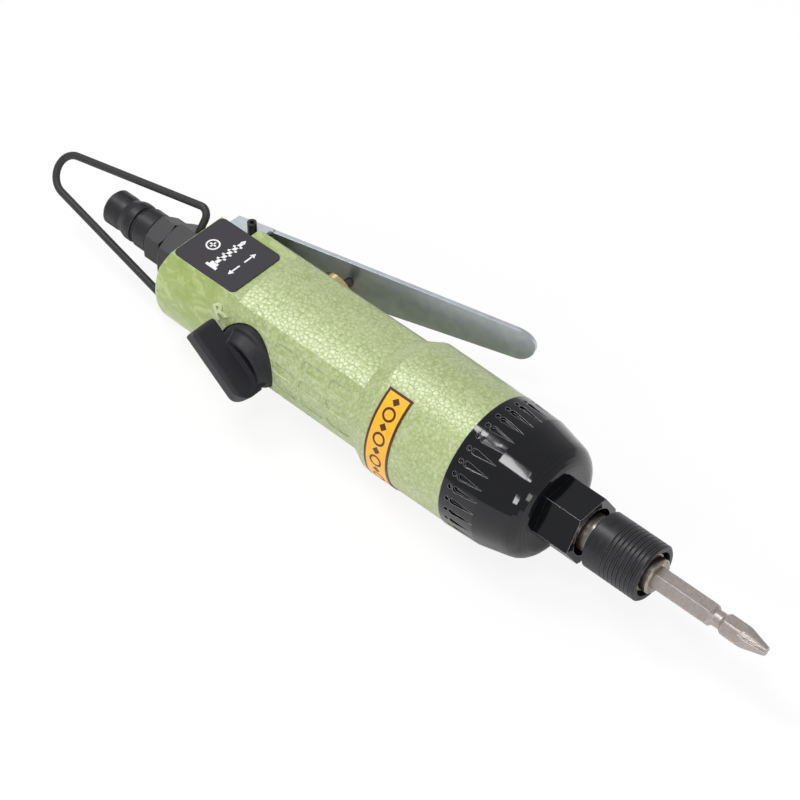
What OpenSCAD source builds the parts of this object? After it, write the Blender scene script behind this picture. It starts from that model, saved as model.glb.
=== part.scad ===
// Lever-start air screwdriver with a twin-hammer impact drive.
// +X runs along the tool towards the bit, +Y points to the lever, +Z is the side of the name plate.
// The origin is the centre of the hose plug's open end. All sizes are in millimetres.

/* [Housing] */
// Radius of the grip
grip_r = 19; // [18.6:0.1:19.6]
// Radius of the front body where it leaves the shoulder
front_r = 21.85; // [21.5:0.05:22.4]
// Radius of the front body at its front end
front_end_r = 21.4; // [21.3:0.05:21.6]
// Distance from the hose plug's open end to the housing's rear face
body_x = 37; // [36:0.25:38]
// Length of the housing
body_len = 120.2; // [119:0.2:122]
// Distance from the foot of the shoulder to the housing's front
front_len = 36.7; // [35.5:0.1:38]
// Length of the shoulder
shoulder_len = 6; // [5:0.25:7]
// Distance from the rear face to the valve and reverse knob axis
valve_at = 40.6; // [39.5:0.1:41.5]
// Height of the flat that carries the name plate
flat_z = 14.6; // [14.5:0.05:14.8]
// Length of that flat
flat_len = 32.2; // [31.5:0.1:33]
// Height of the crowned top of the grip
crown_z = 16.4; // [16.2:0.05:17]
// Radius of the crowned top of the grip
crown_r = 36; // [32:1:40]

/* [Labels] */
// Length of the name plate
plate_len = 25.8; // [24:0.2:26.6]
// Width of the name plate
plate_w = 21; // [19:0.2:22]
// Thickness of the name plate
plate_t = 0.35; // [0.2:0.05:0.6]
// Corner radius of the name plate
plate_corner = 2; // [1:0.25:3]
// Length of the side label along the tool
label_len = 9; // [8:0.5:12]
// Angle that the side label reaches round the front body
label_sweep = 122; // [90:2:150]

/* [Lever] */
// Distance from the rear face to the lever pin
pin_at = 11; // [10.5:0.25:11.5]
// Offset of the lever pin from the tool axis
pin_y = 13.8; // [13.5:0.1:14]
// Radius of the lever pin
pin_r = 1.5; // [1.25:0.05:1.6]
// Angle of the resting lever to the tool axis
lever_rest = 14.5; // [14:0.1:15]
// Reach of the lever from its pin to its tip
lever_reach = 94.2; // [92:0.2:95]
// Half of the lever's width at its pin
lever_half_w = 9.6; // [9.2:0.1:9.8]
// Radius of the lever's round tip
lever_tip_r = 6.15; // [5.8:0.05:6.5]
// Thickness of the lever's sheet steel
sheet_t = 1.3; // [1:0.05:1.4]
// Inside radius of the trough that the lever is pressed into
trough_r = 20.5; // [20.2:0.1:22]
// Distance from the pin to the bottom of the trough
trough_at = 5.6; // [5.5:0.05:5.9]
// Half thickness of the housing's lug between the lever's cheeks
lug_half_t = 8.45; // [8.2:0.05:8.5]

/* [Knob] */
// Radius of the reverse knob's disc
knob_r = 10.8; // [10.4:0.1:11]
// Distance of the knob's outermost face from the tool axis
knob_reach = 30; // [28.5:0.1:30.5]
// Angle of the knob's wing below the tool axis, at the R mark
wing_angle = 40; // [36:1:44]
// Thickness of the knob's wing
wing_t = 6.4; // [5.5:0.1:7]
// Reach of the wing's pointer end from the knob's centre
wing_tip = 15.9; // [14.5:0.1:16.5]

/* [Air inlet] */
// Radius of the hose plug's open end
plug_r = 5.9; // [5.7:0.05:6]
// Bore radius of the hose plug
plug_bore_r = 3.6; // [3:0.1:4]
// Across-flats size of the hose plug's hexagon
plug_af = 14; // [13.8:0.1:14.4]
// Across-flats size of the inlet bushing
bushing_af = 17.5; // [17:0.1:18]
// Radius of the bail's wire
wire_r = 1.25; // [1.1:0.05:1.35]
// Half of the bail's width at its pivots
bail_half_w = 15.6; // [15:0.1:16.2]
// Reach of the bail from its pivots to the centre of its far bend
bail_reach = 53.6; // [52:0.2:55]
// Radius of the bend at the bail's far end
bail_end_r = 6.5; // [6:0.1:7]
// Angle of the bail's plane above the lever side
bail_angle = 51; // [50:0.5:52]

/* [Front end] */
// Radius of the cover at the housing
cover_r = 21.6; // [21.4:0.05:21.8]
// Length of the cover
cover_len = 26.2; // [25.6:0.1:26.6]
// Number of slots round the cover
slot_count = 32; // [24:1:36]
// Across-flats size of the nose hexagon
nose_af = 19; // [18.6:0.1:19.4]
// Distance from the cover's front to the nose's front face
nose_len = 12.2; // [11.8:0.1:12.8]
// Radius of the anvil
anvil_r = 6; // [5.8:0.05:6.1]
// Radius of the sleeve
sleeve_r = 9.05; // [8.9:0.05:9.3]
// Length of the sleeve
sleeve_len = 18.7; // [18.2:0.1:19]
// Travel of the sleeve
sleeve_travel = 2.8; // [2.4:0.1:2.9]
// Across-flats size of the bit
bit_af = 6.35; // [6.3:0.01:6.4]
// Length of the double-ended bit
bit_len = 65; // [64:0.5:66]

/* [Motor] */
// Radius of the motor cylinder
liner_r = 14.15; // [14:0.05:14.2]
// Bore radius of the motor cylinder
liner_bore_r = 11.6; // [11.4:0.05:11.8]
// Offset of that bore from the rotor's axis
liner_offset = 0.9; // [0.8:0.05:1]
// Radius of the rotor
rotor_r = 10.35; // [10:0.05:10.4]
// Number of vanes
vane_count = 5; // [4:1:6]
// Radius of the rotor's shaft
shaft_r = 3.5; // [3.2:0.1:3.7]

/* [Hidden] */

// Clearances
run_gap = 0.05;
fit_gap = 0.02;
body_gap = 0.3;
cut = 0.5;
sides = 96;
plan_sides = 32;

// Housing
rear_fillet = 2.5;
rear_bevel_len = 2.9;
rear_bevel_h = 8;
front_x = body_x + body_len;
valve_x = body_x + valve_at;
pin_x = body_x + pin_at;
shoulder_x = front_x - front_len;
shoulder_end = shoulder_x + shoulder_len;
shoulder_fillet_r = 1.6;
flat_end = body_x + flat_len;
lug_front = 4.4;
lug_end = pin_x + lug_front;
lug_back = 2.9;
lug_inner_y = 8.9;
lug_top_y = 16.4;
recess_r = knob_r + body_gap;
recess_y = 14.6;
cross_bore_r = 6.5;
spot_r = 7.4;
spot_y = 17.6;
inlet_passage_r = 5;
motor_at = 55.2;
motor_x = body_x + motor_at;
mech_depth = 27.8;
mech_x = front_x - mech_depth;
mech_bore_r = 18.2;
port_r = 1.6;
port_z = 4;
exhaust_r = 1.3;
exhaust_pitch = 5;
exhaust_angles = [-115, -90, -65];
cell_h = 3.4;
cell_depth = 0.45;
cell_row_angle = 147.5;
cell_row_pitch = 19;
cell_rows = 3;
cell_row_step = 0.75;
cell_back = 9.7;
cell_x = valve_x + cell_back;
cell_end = shoulder_x - cut;
cell_len = 9.1;
cell_rib = 1.9;
cell_pitch = cell_len + cell_rib;
cell_count = floor((cell_end - cell_x - cell_row_step * (cell_rows - 1) + cell_rib) / cell_pitch);
cell_corner = 0.9;

// Labels
plate_margin = 3.3;
plate_side = 12.15;
label_margin = 2.2;
label_t = 0.2;
label_x = shoulder_end + label_margin;

// Lever
pin_out = 14.2;
pin_in = 10.6;
pin_bore_r = 0.75;
pin_slit = 0.5;
cheek_gap = 0.15;
cheek_in = lug_half_t + cheek_gap;
cheek_out = cheek_in + sheet_t;
cheek_top = trough_at - trough_r + sqrt(pow(trough_r + sheet_t, 2) - pow(cheek_out, 2));
lug_rest_top = trough_at - trough_r + sqrt(pow(trough_r, 2) - pow(lug_half_t, 2)) - body_gap;
cheek_rear = 7.4;
cheek_front = 5.3;
cheek_low = 4.2;
cheek_tail = 1.8;
cheek_tail_y = 1.7;
cheek_shoulder_y = 2.5;
cheek_foot_rear = 1.5;

// Air inlet
plug_chamfer = 0.8;
plug_tip_end = 5.6;
plug_waist = 0.25;
plug_waist_x = 7.2;
plug_collar_r = 6.6;
plug_collar_x = 9.6;
plug_collar_end = 12.7;
plug_collar_round = 0.15;
plug_groove_r = 5.55;
plug_groove_x = 13.1;
plug_groove_end = 14.3;
plug_round_r = 6.75;
plug_round_x = 15;
plug_round_end = 20.2;
plug_round_bevel = 0.4;
plug_hex_x = 20.5;
plug_hex_len = 6.8;
plug_hex_end = plug_hex_x + plug_hex_len;
plug_neck_r = 5.9;
plug_hex_chamfer = 1.3;
plug_neck_len = 0.8;
plug_thread_x = plug_hex_end + plug_neck_len;
plug_thread_r = 6.58;
plug_thread_len = 3.5;
plug_thread_end = plug_thread_x + plug_thread_len;
bushing_gap = 1.2;
bushing_x = plug_hex_end + bushing_gap;
bushing_thread_r = 8.2;
bushing_thread_len = 12;
bushing_end = body_x + bushing_thread_len;
bushing_bore_r = 4.4;
bushing_chamfer = 1.2;
screen_r = 5.9;
screen_t = 1;
screen_hole_r = 0.55;
screen_pitch = 1.7;
screen_rows = 2;
bail_pin_back = 3.8;
bail_pin_x = body_x - bail_pin_back;
bail_pin_in = 5.7;
bail_bend_r = 2.9;
bail_bend_z = bail_half_w - bail_bend_r;
bail_end_x = bail_pin_x - bail_reach;
bail_lean = asin((bail_half_w - bail_end_r) / (bail_pin_x - bail_bend_r - bail_end_x));
bend_steps = 8;
end_steps = 16;
wire_faces = 16;

// Valve
bush_r = 5.6;
bush_flange_r = 6.7;
bush_top = 20.4;
bush_seat_y = 9;
bush_chamber_r = 3.4;
bush_chamber_end = 13.2;
stem_r = 1.5;
lever_gap = 0.3;
stem_top = pin_y + trough_at / cos(lever_rest) + (valve_x - pin_x) * tan(lever_rest) - lever_gap;
valve_head_r = 4.6;
valve_head_t = 2.4;
disc_t = 0.9;
spring_seat_y = -5.3;
valve_spring_r = 3.2;
valve_spring_wire_r = 0.35;
valve_spring_turns = 6;

// Reverse knob
disc_y = 17.6;
dome_share = 0.4;
dome_y = disc_y + (knob_reach - disc_y) * dome_share;
dome_r = 8.6;
dome_round = 0.6;
wing_foot = grip_r + 2.6;
wing_heel = 9.9;
wing_round_share = 0.6;
wing_round = (knob_reach - wing_foot) * wing_round_share;
wing_nose_share = 0.17;
wing_nose = (knob_reach - wing_foot) * wing_nose_share;
wing_corner = 1.4;
wing_inset = 0.6;
wing_root = 18.4;
wing_ledge = 1.1;
knob_bevel = 0.9;
slot_floor = 18.2;
spool_key_r = 3;
spool_key_y = 17.6;
spool_end_y = 5.6;
spool_well_r = 3.6;
spool_port_angle = 30;
o_ring_r = 0.65;
o_ring_y = 12.4;
detent_r = 1.2;
detent_y = 9.4;
detent_out = 0.66;
detent_at = cross_bore_r + detent_out;
detent_spring_len = 6;
detent_spring_turns = 3;
o_ring_at = cross_bore_r - run_gap - o_ring_r;

// Motor
rear_plate_t = 5.8;
liner_x = motor_x + rear_plate_t;
front_plate_t = 4.8;
front_plate_r = mech_bore_r - body_gap;
plate_web = 0.9;
bearing_w = 3.9;
race_step = 0.75;
race_t = 1.6;
ball_pitch_r = 5.65;
inner_race_r = ball_pitch_r - race_step;
outer_race_r = ball_pitch_r + race_step;
bearing_r = outer_race_r + race_t;
ball_r = 1.2;
ball_count = 7;
front_bearing_x = mech_x + plate_web;
exhaust_x = (liner_x + mech_x - exhaust_pitch) / 2;
vane_t = 1.5;
vane_depth = 5.4;
vane_out = 0.1;
pin_dowel_r = 1;
dowel_z = 12.4;
dowel_in = 3;
gasket_t = 0.5;
gasket_w = 2.4;
motor_gap = 0.3;

// Impact drive
case_x = mech_x + front_plate_t + gasket_t;
case_bore_r = 15.5;
cage_gap = 0.4;
cage_r = case_bore_r - cage_gap;
cage_back = 2.2;
cage_x = case_x + cage_back;
cage_wall = 5;
cage_slot = 22.4;
dog_gap = 0.3;
dog_hole_r = 8.9;
dog_jaw_w = 4;
dog_jaw_r = 6.7;
jaw_w = 5;
jaw_r = 8.4;
pivot_at = 12.3;
pivot_r = 1.9;
anvil_shank_r = 6.2;
cage_front_gap = 0.8;
case_front_wall = 7.8;
case_front_x = front_x + cover_len - case_front_wall;
cage_end = case_front_x - cage_front_gap;
case_r = 19;
case_bevel = 2.2;
case_bevel_len = 7;
case_dome = 7;
cover_lap = 1.2;
bush_wall = 1.4;
nose_recess = 4;
nose_recess_gap = 0.4;
cover_front_x = front_x + cover_len;
nose_x = cover_front_x + nose_len;
nose_turn = 0;
nose_chamfer = 0.5;
cover_side_len = 12;
cover_side_x = front_x + cover_side_len;
cover_side_r = 21;
dome_arc_r = 6.2;
dome_arc_centre_r = 12.8;
dome_arc_from = 12;
dome_arc_step = 13;
slot_depth = 0.55;
slot_start = 2;
slot_pit_r = 0.7;
slot_rib = 0.35;
slot_length = 8.6;
slot_round_r = 0.95;

// Bit holder
sleeve_back = 3.4;
sleeve_x = nose_x + sleeve_back;
sleeve_end = sleeve_x + sleeve_len;
sleeve_bevel = 0.5;
anvil_out = 1.8;
anvil_end = sleeve_end + anvil_out;
anvil_tip_r = 5.5;
anvil_bevel = 0.5;
anvil_rim = 0.6;
bit_corner_r = bit_af / sqrt(3) + run_gap;
socket_gap = 0.3;
neck_at = 15.9;
neck_r = 2.45;
neck_len = 3;
neck_taper = 2.2;
neck_round = 0.3;
head_r = 3.5;
tip_len = 8;
tip_r = 1.4;
flute_at = 0.9;
flute_angle = 15.5;
flute_lead = 2;
retain_r = 1.7;
land_r = anvil_r + run_gap;
land_back = sleeve_travel - retain_r - 4 * run_gap;
land_front = 1.5;
pocket_r = 7.2;
guide_len = 2;
ring_groove_w = 1.45;
ring_groove_d = 0.4;
ring_count = 8;
ring_margin = 1;
ring_x = sleeve_end - ring_margin;
snap_back = 4.4;
snap_x = anvil_end - snap_back;
ball_back = 7.6;
retain_x = snap_x - ball_back;
bit_x = retain_x - neck_at;
socket_floor = bit_x - socket_gap;
snap_t = 0.9;
snap_depth = 0.5;
snap_r = 6.8;
snap_mouth = 1.6;
washer_t = 0.6;
coil_r = 6.6;
coil_wire_r = 0.35;
coil_turns = 3;

// A solid of revolution about the tool axis; its points are [radius, distance along X]
module turned(points) {
    rotate([0, 90, 0]) rotate_extrude($fn = sides) polygon(points);
}

// A rod along X between two distances, centred at y and z
module rod_x(from, to, r, y = 0, z = 0) {
    translate([from, y, z]) rotate([0, 90, 0]) cylinder(h = to - from, r = r, $fn = sides);
}

// A tube along X
module tube_x(from, to, outer, inner) {
    difference() {
        rod_x(from, to, outer);
        rod_x(from - cut, to + cut, inner);
    }
}

// A hexagonal bar along X with chamfered ends; turn is the angle of one corner from +Y
module hex_x(from, to, af, turn, chamfer) {
    corner = af / sqrt(3);
    intersection() {
        translate([from, 0, 0]) rotate([turn + 90, 0, 0]) rotate([0, 90, 0])
            cylinder(h = to - from, r = corner, $fn = 6);
        turned([[0, from], [corner - chamfer, from], [corner + cut, from + (chamfer + cut) / 2],
            [corner + cut, to - (chamfer + cut) / 2], [corner - chamfer, to], [0, to]]);
    }
}

// A rectangle with rounded corners, from the origin
module rounded_plan(length, width, r) {
    translate([r, 0]) square([length - 2 * r, width]);
    translate([0, r]) square([length, width - 2 * r]);
    for (x = [r, length - r], y = [r, width - r]) translate([x, y]) circle(r = r, $fn = plan_sides);
}

// A rod along Y between two distances, at x and z
module rod_y(from, to, r, x = valve_x, z = 0) {
    translate([x, to, z]) rotate([90, 0, 0]) cylinder(h = to - from, r = r, $fn = sides);
}

// Points of an arc about x and y, from one angle to another
function arc_points(x, y, r, from, to, steps = 8) =
    [for (i = [0:steps]) let (a = from + (to - from) * i / steps) [x + r * cos(a), y + r * sin(a)]];

// A coil spring along X as one tube swept by a formula, from x0 to x1
function spring_point(i, rings, x0, x1, r, turns) =
    let (a = 360 * turns * i / rings)
    [x0 + (x1 - x0) * i / rings, r * cos(a), r * sin(a)];

function ring_points(c, a, wire, faces) =
    [for (k = [0:faces - 1])
        let (b = 360 * k / faces, out = wire * cos(b))
        [c[0] + wire * sin(b), c[1] + out * cos(a), c[2] + out * sin(a)]];

module coil_x(x0, x1, r, wire, turns, per_turn = 12, faces = 6) {
    rings = per_turn * turns;
    points = [for (i = [0:rings]) each
        ring_points(spring_point(i, rings, x0 + wire, x1 - wire, r, turns),
            360 * turns * i / rings, wire, faces)];
    walls = [for (i = [0:rings - 1], k = [0:faces - 1])
        let (n = (k + 1) % faces, p = i * faces, q = p + faces)
        each [[p + k, q + k, q + n], [p + k, q + n, p + n]]];
    caps = [[for (k = [0:faces - 1]) k], [for (k = [0:faces - 1]) rings * faces + faces - 1 - k]];
    polyhedron(points, concat(walls, caps));
}

// Housing
module body_round() {
    turned([[0, body_x], [grip_r - rear_fillet, body_x],
        for (a = [75:-15:0]) [grip_r - rear_fillet * (1 - cos(a)), body_x + rear_fillet * (1 - sin(a))],
        [grip_r, shoulder_x],
        [front_r - shoulder_fillet_r / 2, shoulder_end - shoulder_fillet_r],
        [front_r, shoulder_end], [front_end_r, front_x], [0, front_x]]);
}

// What the crown leaves of the grip, ahead of the flat
module grip_limits() {
    rod_x(body_x - cut, flat_end, grip_r + cut);
    rod_x(body_x, shoulder_x + shoulder_len / 2, crown_r, 0, crown_z - crown_r);
    rod_x(shoulder_x, front_x + cut, front_r + cut);
}

module name_flat() {
    translate([body_x - cut, -grip_r - cut, flat_z])
        cube([flat_end - body_x + cut, 2 * grip_r + 2 * cut, grip_r]);
}

// The slanted top edge of the rear face, behind the name plate
module rear_bevel() {
    translate([0, grip_r + cut, 0]) rotate([90, 0, 0]) linear_extrude(2 * (grip_r + cut))
        polygon([[body_x - rear_bevel_len, flat_z - 2 * rear_bevel_h],
            [body_x + 2 * rear_bevel_len, flat_z + rear_bevel_h],
            [body_x - rear_bevel_len, flat_z + rear_bevel_h]]);
}

module lever_pocket() {
    translate([body_x - cut, lug_inner_y, -grip_r]) cube([lug_back + cut, grip_r, 2 * grip_r]);
    for (side = [-1, 1])
        translate([body_x - cut, lug_inner_y, side > 0 ? lug_half_t : -lug_half_t - grip_r])
            cube([lug_end - body_x + cut, grip_r, grip_r]);
    translate([body_x - cut, lug_top_y, -grip_r]) cube([lug_end - body_x + cut, grip_r, 2 * grip_r]);
    at_lever() translate([-grip_r, lug_rest_top, -grip_r]) cube([grip_r, grip_r, 2 * grip_r]);
}

// The shallow cells pressed into the grip's side, in rows along the tool
module grip_cells() {
    for (row = [0:cell_rows - 1], k = [0:cell_count - 1])
        rotate([cell_row_angle - 90 + row * cell_row_pitch, 0, 0])
            translate([cell_x + row * cell_row_step + k * cell_pitch, -cell_h / 2, grip_r - cell_depth])
                linear_extrude(grip_r) cell_plan(k == 0, k == cell_count - 1);
}

// A cell, round at the end where its row starts or stops
module cell_plan(first, last) {
    inset = cell_h / 2 - cell_corner;
    rear = first ? inset : 0;
    front = last ? cell_len - inset : cell_len;
    translate([rear, 0]) rounded_plan(front - rear, cell_h, cell_corner);
    if (first) translate([cell_h / 2, cell_h / 2]) circle(r = cell_h / 2, $fn = plan_sides);
    if (last) translate([cell_len - cell_h / 2, cell_h / 2]) circle(r = cell_h / 2, $fn = plan_sides);
}

module body_bores() {
    rod_x(body_x - cut, bushing_end + fit_gap, bushing_thread_r + fit_gap);
    rod_x(body_x, valve_x, inlet_passage_r);
    rod_y(-recess_y - cut, bush_seat_y, cross_bore_r);
    rod_y(0, grip_r + cut, bush_r + fit_gap);
    rod_y(spot_y, grip_r + cut, spot_r);
    rod_y(-grip_r - cut, -recess_y, recess_r);
    rod_x(motor_x, mech_x + cut, liner_r + fit_gap);
    rod_x(mech_x, front_x + cut, mech_bore_r);
    for (z = [-port_z, port_z]) rod_x(valve_x, motor_x + cut, port_r, -detent_y, z);
    exhaust_holes();
    translate([pin_x, pin_y, -grip_r]) cylinder(h = 2 * grip_r, r = pin_r, $fn = sides);
    translate([valve_x, -detent_y, -cross_bore_r - detent_spring_len])
        cylinder(h = cross_bore_r + detent_spring_len, r = detent_r + run_gap, $fn = sides);
}

module exhaust_holes() {
    for (a = exhaust_angles, x = [exhaust_x, exhaust_x + exhaust_pitch])
        translate([x, 0, 0]) rotate([a, 0, 0]) rotate([-90, 0, 0])
            cylinder(h = grip_r + cut, r = exhaust_r, $fn = sides);
}

module housing() {
    color([0.69, 0.75, 0.53]) difference() {
        intersection() {
            body_round();
            grip_limits();
        }
        name_flat();
        rear_bevel();
        lever_pocket();
        grip_cells();
        body_bores();
    }
}

module name_plate() {
    color([0.25, 0.24, 0.27]) translate([body_x + plate_margin, -plate_side, flat_z])
        linear_extrude(plate_t) rounded_plan(plate_len, plate_w, plate_corner);
}

// Radius of the front body at a distance along the tool
function front_radius(x) =
    front_r - (front_r - front_end_r) * (x - shoulder_end) / (front_x - shoulder_end);

// A band round the front body on the side away from the lever
module side_label() {
    label_end = label_x + label_len;
    rear_r = front_radius(label_x);
    end_r = front_radius(label_end);
    side = front_r + cut;
    half = side * tan(label_sweep / 2);
    color([0.98, 0.78, 0.15]) intersection() {
        turned([[rear_r, label_x], [rear_r + label_t, label_x], [end_r + label_t, label_end],
            [end_r, label_end]]);
        translate([label_x - cut, 0, 0]) rotate([90, 0, 90]) linear_extrude(label_len + 2 * cut)
            polygon([[0, 0], [-side, -half], [-side, half]]);
    }
}

// Air inlet
module inlet_bushing() {
    color([0.2, 0.2, 0.21]) difference() {
        union() {
            hex_x(bushing_x, body_x, bushing_af, bail_angle - 30, bushing_chamfer);
            rod_x(body_x - cut, bushing_end, bushing_thread_r);
        }
        rod_x(bushing_x - cut, plug_thread_end + fit_gap, plug_thread_r + fit_gap);
        rod_x(bushing_x, bushing_end + cut, bushing_bore_r);
        rod_x(bushing_end - screen_t - fit_gap, bushing_end + cut, screen_r + fit_gap);
        bail_plane() for (side = [-1, 1])
            translate([bail_pin_x, 0, side > 0 ? bail_pin_in - run_gap : -bushing_af])
                cylinder(h = bushing_af - bail_pin_in + run_gap, r = wire_r + run_gap, $fn = sides);
    }
}

module hose_plug() {
    color([0.2, 0.19, 0.21]) difference() {
        union() {
            turned([[0, 0], [plug_r - plug_chamfer, 0], [plug_r, plug_chamfer], [plug_r, plug_tip_end],
                [plug_r - plug_waist, plug_waist_x], [plug_collar_r - plug_collar_round, plug_collar_x],
                [plug_collar_r, plug_collar_x + plug_chamfer],
                [plug_collar_r, plug_collar_end - plug_chamfer],
                [plug_collar_r - plug_collar_round, plug_collar_end], [plug_groove_r, plug_groove_x],
                [plug_groove_r, plug_groove_end], [plug_round_r, plug_round_x],
                [plug_round_r, plug_round_end - plug_round_bevel],
                [plug_round_r - plug_round_bevel, plug_round_end],
                [plug_round_r - plug_round_bevel, plug_hex_x + cut], [plug_neck_r, plug_hex_x + cut],
                [plug_neck_r, plug_thread_x], [plug_thread_r, plug_thread_x],
                [plug_thread_r, plug_thread_end], [0, plug_thread_end]]);
            hex_x(plug_hex_x, plug_hex_end, plug_af, bail_angle - 30, plug_hex_chamfer);
        }
        rod_x(-cut, plug_thread_end + cut, plug_bore_r);
    }
}

module inlet_screen() {
    color([0.8, 0.7, 0.45]) difference() {
        rod_x(bushing_end - screen_t, bushing_end, screen_r);
        for (i = [-screen_rows:screen_rows], j = [-screen_rows:screen_rows])
            rod_x(bushing_end - screen_t - cut, bushing_end + cut, screen_hole_r,
                i * screen_pitch, j * screen_pitch);
    }
}

// Bail: local X is the tool axis and local Z lies in the wire's plane
module bail_plane() {
    rotate([bail_angle - 90, 0, 0]) children();
}

// The bail's wire is one tube swept along its path. Each place on the path is [x, z, angle],
// where the angle points to the outer side of the bends.
function path_arc(x, z, r, from, to, steps) =
    [for (i = [0:steps]) let (a = from + (to - from) * i / steps) [x + r * cos(a), z + r * sin(a), a]];

bail_path = concat([[bail_pin_x, bail_pin_in, 0]],
    path_arc(bail_pin_x - bail_bend_r, bail_bend_z, bail_bend_r, 0, 90 + bail_lean, bend_steps),
    path_arc(bail_end_x, 0, bail_end_r, 90 + bail_lean, 270 - bail_lean, end_steps),
    path_arc(bail_pin_x - bail_bend_r, -bail_bend_z, bail_bend_r, 270 - bail_lean, 360, bend_steps),
    [[bail_pin_x, -bail_pin_in, 360]]);

module bail() {
    rings = len(bail_path) - 1;
    points = [for (p = bail_path, k = [0:wire_faces - 1]) let (b = 360 * k / wire_faces)
        [p[0] + wire_r * cos(b) * cos(p[2]), wire_r * sin(b), p[1] + wire_r * cos(b) * sin(p[2])]];
    walls = [for (i = [0:rings - 1], k = [0:wire_faces - 1])
        let (n = (k + 1) % wire_faces, p = i * wire_faces, q = p + wire_faces)
        each [[p + k, p + n, q + n], [p + k, q + n, q + k]]];
    caps = [[for (k = [0:wire_faces - 1]) wire_faces - 1 - k],
        [for (k = [0:wire_faces - 1]) rings * wire_faces + k]];
    color([0.26, 0.25, 0.25]) bail_plane() polyhedron(points, concat(walls, caps));
}

// Lever: drawn about its pin with the trough along X, then turned to its rest angle
module at_lever() {
    translate([pin_x, pin_y, 0]) rotate([0, 0, lever_rest]) children();
}

module trough(half_w) {
    centre = trough_at - trough_r;
    intersection() {
        translate([0, centre, 0]) tube_x(-cheek_rear, lever_reach, trough_r + sheet_t, trough_r);
        translate([-cheek_rear, 0, -half_w]) cube([lever_reach + cheek_rear, trough_r, 2 * half_w]);
    }
}

module lever_plan() {
    translate([-cheek_rear, -cheek_out]) square([cheek_rear + cheek_front, 2 * cheek_out]);
    polygon([[0, -lever_half_w], [lever_reach - lever_tip_r, -lever_tip_r],
        [lever_reach - lever_tip_r, lever_tip_r], [0, lever_half_w]]);
    translate([lever_reach - lever_tip_r, 0]) circle(r = lever_tip_r, $fn = sides);
}

module cheek() {
    linear_extrude(sheet_t) polygon([[-cheek_rear - cheek_tail, -cheek_tail_y], [-cheek_rear, cheek_top],
        [cheek_front, cheek_top], [cheek_low, cheek_shoulder_y], [cheek_low - cheek_tail, -cheek_low],
        [-cheek_foot_rear, -cheek_low]]);
}

module lever() {
    color([0.78, 0.8, 0.81]) at_lever() difference() {
        union() {
            intersection() {
                trough(cheek_out);
                translate([0, 2 * trough_r, 0]) rotate([90, 0, 0])
                    linear_extrude(4 * trough_r) lever_plan();
            }
            for (z = [cheek_in, -cheek_out]) translate([0, 0, z]) cheek();
        }
        translate([0, 0, -grip_r]) cylinder(h = 2 * grip_r, r = pin_r + run_gap, $fn = sides);
    }
}

module lever_pin() {
    color([0.12, 0.12, 0.13]) translate([pin_x, pin_y, -pin_in]) difference() {
        cylinder(h = pin_in + pin_out, r = pin_r, $fn = sides);
        translate([0, 0, -cut]) cylinder(h = pin_in + pin_out + 2 * cut, r = pin_bore_r, $fn = sides);
        translate([0, -pin_slit / 2, -cut]) cube([pin_r + cut, pin_slit, pin_in + pin_out + 2 * cut]);
    }
}

// Valve
module valve_bushing() {
    color([0.85, 0.65, 0.4]) difference() {
        union() {
            rod_y(bush_seat_y, spot_y + cut, bush_r);
            rod_y(spot_y, bush_top, bush_flange_r);
        }
        rod_y(bush_seat_y - cut, bush_chamber_end, bush_chamber_r);
        rod_y(bush_chamber_end - cut, bush_top + cut, stem_r + run_gap);
        translate([valve_x, (bush_seat_y + bush_chamber_end) / 2, 0]) for (turn = [0, 90])
            rotate([0, turn, 0]) translate([0, 0, -bush_r - cut])
                cylinder(h = 2 * (bush_r + cut), r = port_r, $fn = sides);
    }
}

module valve_stem() {
    head_top = bush_seat_y - body_gap - disc_t;
    color([0.72, 0.72, 0.7]) {
        rod_y(head_top - cut, stem_top - stem_r, stem_r);
        translate([valve_x, stem_top - stem_r, 0]) sphere(r = stem_r, $fn = sides);
        rod_y(head_top - valve_head_t, head_top, valve_head_r);
    }
}

module valve_disc() {
    top = bush_seat_y - body_gap;
    color([0.15, 0.15, 0.15]) difference() {
        rod_y(top - disc_t, top, valve_head_r);
        rod_y(top - disc_t - cut, top + cut, stem_r);
    }
}

module valve_spring() {
    top = bush_seat_y - body_gap - disc_t - valve_head_t;
    color([0.7, 0.7, 0.72]) translate([valve_x, 0, 0]) rotate([0, 0, 90])
        coil_x(spring_seat_y, top, valve_spring_r, valve_spring_wire_r, valve_spring_turns);
}

// Reverse knob
module wing_frame() {
    translate([valve_x, 0, 0]) rotate([0, wing_angle, 0]) children();
}

// The wing from the side: a rounded heel, a blunt nose and a foot that sinks into the disc
module wing_outline() {
    polygon(concat(
        arc_points(wing_heel - wing_round, wing_round - knob_reach, wing_round, 0, -90),
        arc_points(wing_nose - wing_tip, wing_nose - knob_reach, wing_nose, -90, -180),
        [[-wing_tip, -wing_foot], [wing_inset - knob_r, -wing_foot], [wing_inset - knob_r, -wing_root],
            [wing_heel - wing_inset, -wing_root], [wing_heel - wing_inset, -wing_foot],
            [wing_heel, -wing_foot]]));
}

// The wing with rounded corners, seen from its side, from its end and from outside
module wing() {
    intersection() {
        translate([0, 0, -wing_t / 2]) linear_extrude(wing_t) wing_outline();
        translate([-wing_tip, -knob_reach, -wing_t / 2]) rotate([90, 0, 90])
            linear_extrude(wing_tip + wing_heel)
                rounded_plan(2 * (knob_reach - wing_root), wing_t, wing_corner);
        translate([-wing_tip, 0, -wing_t / 2]) rotate([90, 0, 0]) linear_extrude(knob_reach + cut)
            rounded_plan(wing_tip + wing_heel, wing_t, wing_corner);
    }
}

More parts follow.
